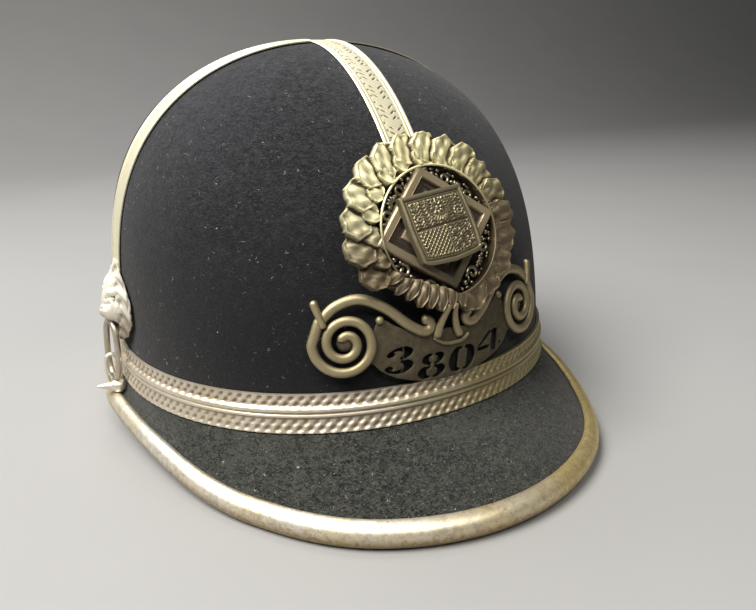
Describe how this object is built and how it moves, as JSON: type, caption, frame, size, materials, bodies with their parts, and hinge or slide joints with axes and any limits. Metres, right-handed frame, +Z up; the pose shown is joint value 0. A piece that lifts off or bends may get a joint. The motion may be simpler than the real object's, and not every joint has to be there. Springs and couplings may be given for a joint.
{
  "type": "police helmet",
  "caption": "Domed hollow felt helmet with two peaks, rolled metal rims, ornamental band, crown strips, wreath badge with star and shield, scrolled number plate and lion bosses with rings.",
  "frame": {"origin": "middle of the footprint on the resting plane, z = 0 under the rolled rims", "axes": "+Z up through the crown, -Y towards the front peak and badge, +X across to the wearer's left"},
  "size_m": [0.2152, 0.2878, 0.1564],
  "materials": {
    "felt": "dense black felt with a fine nap",
    "nickel": "worn polished nickel silver",
    "gilt": "pale gilt on stamped nickel, dulled in the recesses",
    "pewter": "dull dark bronze, rubbed bright on the edges"
  },
  "bodies": {
    "root": {"crown": "felt", "front_peak": "felt", "rear_peak": "felt", "front_rim": "nickel", "rear_rim": "nickel", "hat_band": "nickel", "strip_lengthwise": "nickel", "strip_left": "nickel", "strip_right": "nickel", "badge_ground": "gilt", "wreath": "gilt", "star": "gilt", "shield": "gilt", "number_plate": "pewter", "lion_boss_left": "nickel", "lion_boss_right": "nickel", "mouth_ring_left": "nickel", "mouth_ring_right": "nickel", "link_left": "nickel", "link_right": "nickel", "rim_lug_left": "nickel", "rim_lug_right": "nickel"}
  },
  "joints": []
}
